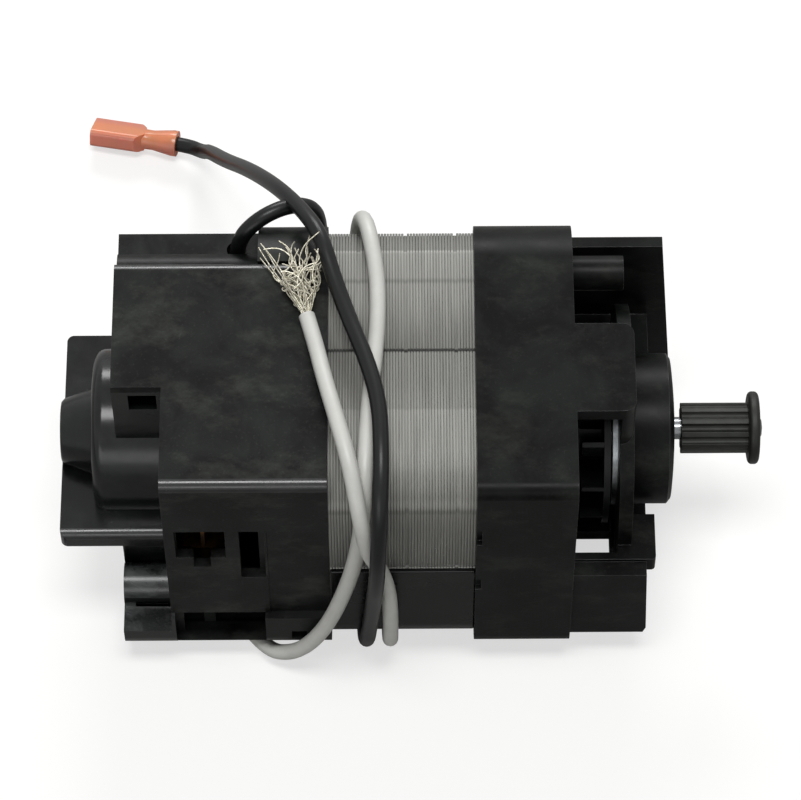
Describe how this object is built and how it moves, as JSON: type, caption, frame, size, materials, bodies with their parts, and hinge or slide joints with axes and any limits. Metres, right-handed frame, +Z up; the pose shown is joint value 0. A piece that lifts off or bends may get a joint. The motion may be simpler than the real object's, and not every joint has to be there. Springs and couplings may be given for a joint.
{
  "type": "vacuum power nozzle motor",
  "caption": "Brush motor with a laminated stack between two black moulded end housings, a toothed belt pulley and two leads wrapped round its body.",
  "frame": {"origin": "on the shaft's axis, in the middle of the round boss at the drive end", "axes": "+X along the shaft towards the pulley, +Z up as the motor lies on its feet"},
  "size_m": [0.1489, 0.1487, 0.0823],
  "materials": {
    "moulded_black": "moulded thermoset, satin",
    "tray_black": "smooth moulded",
    "lamination_steel": "stacked electrical steel sheets",
    "enamelled_copper": "varnished winding wire",
    "insulation_board": "pressed board",
    "zinc_plated_steel": "zinc plated",
    "bearing_steel": "ground and polished",
    "ground_shaft_steel": "ground",
    "brush_brass": "stamped",
    "spring_steel": "rolled strip",
    "carbon": "pressed carbon",
    "commutator_copper": "turned",
    "phenolic": "moulded",
    "fan_plastic": "moulded",
    "dark_pulley_steel": "sintered, steam treated",
    "cage_nylon": "moulded",
    "sintered_bronze": "sintered",
    "felt": "pressed wool felt",
    "black_insulation": "extruded",
    "white_insulation": "extruded",
    "salmon_nylon": "translucent moulded nylon",
    "tinned_strands": "tinned copper strands, frayed"
  },
  "bodies": {
    "root": {"drive_end_housing": "moulded_black", "commutator_end_housing": "moulded_black", "terminal_cover": "moulded_black", "stator_stack": "lamination_steel", "lower_stack_cover": "tray_black", "upper_field_coil": "enamelled_copper", "lower_field_coil": "enamelled_copper", "end_insulators": "insulation_board", "through_bolts": "zinc_plated_steel", "brush_holders": "brush_brass", "brush_clips": "spring_steel", "bearing_outer_ring": "bearing_steel", "bearing_shields": "zinc_plated_steel", "wave_washer": "zinc_plated_steel", "bearing_retainer": "zinc_plated_steel", "retainer_screws": "zinc_plated_steel", "rear_bush": "sintered_bronze", "oil_felt": "felt", "bush_retainer": "zinc_plated_steel", "black_lead": "black_insulation", "white_lead": "white_insulation", "connector_sleeve": "salmon_nylon", "connector_receptacle": "brush_brass", "white_lead_strands": "tinned_strands"},
    "rotor": {"shaft": "ground_shaft_steel", "armature_core": "lamination_steel", "armature_windings": "enamelled_copper", "commutator_bars": "commutator_copper", "commutator_hub": "phenolic", "fan": "fan_plastic", "pulley": "dark_pulley_steel", "thrust_washers": "zinc_plated_steel", "bearing_spacer": "zinc_plated_steel", "shaft_clip": "zinc_plated_steel", "bearing_inner_ring": "bearing_steel"},
    "ball_set": {"bearing_balls": "bearing_steel", "bearing_cage": "cage_nylon"},
    "brush_front": {"front_brush": "carbon", "front_brush_spring": "spring_steel"},
    "brush_rear": {"rear_brush": "carbon", "rear_brush_spring": "spring_steel"}
  },
  "joints": [
    {"name": "rotor_spin", "type": "hinge", "parent": "root", "child": "rotor", "pos_m": [0, 0, 0], "axis": [1, 0, 0], "continuous": true},
    {"name": "ball_set_spin", "type": "hinge", "parent": "root", "child": "ball_set", "pos_m": [0, 0, 0], "axis": [1, 0, 0], "continuous": true},
    {"name": "front_brush_slide", "type": "slide", "parent": "root", "child": "brush_front", "axis": [0, -1, 0], "range_m": [0, 0.003], "stiffness_N_per_m": 150, "springref_m": -0.006},
    {"name": "rear_brush_slide", "type": "slide", "parent": "root", "child": "brush_rear", "axis": [0, 1, 0], "range_m": [0, 0.003], "stiffness_N_per_m": 150, "springref_m": -0.006}
  ],
  "couplings": [
    {"joint": "ball_set_spin", "follows": "rotor_spin", "ratio": 0.368}
  ]
}
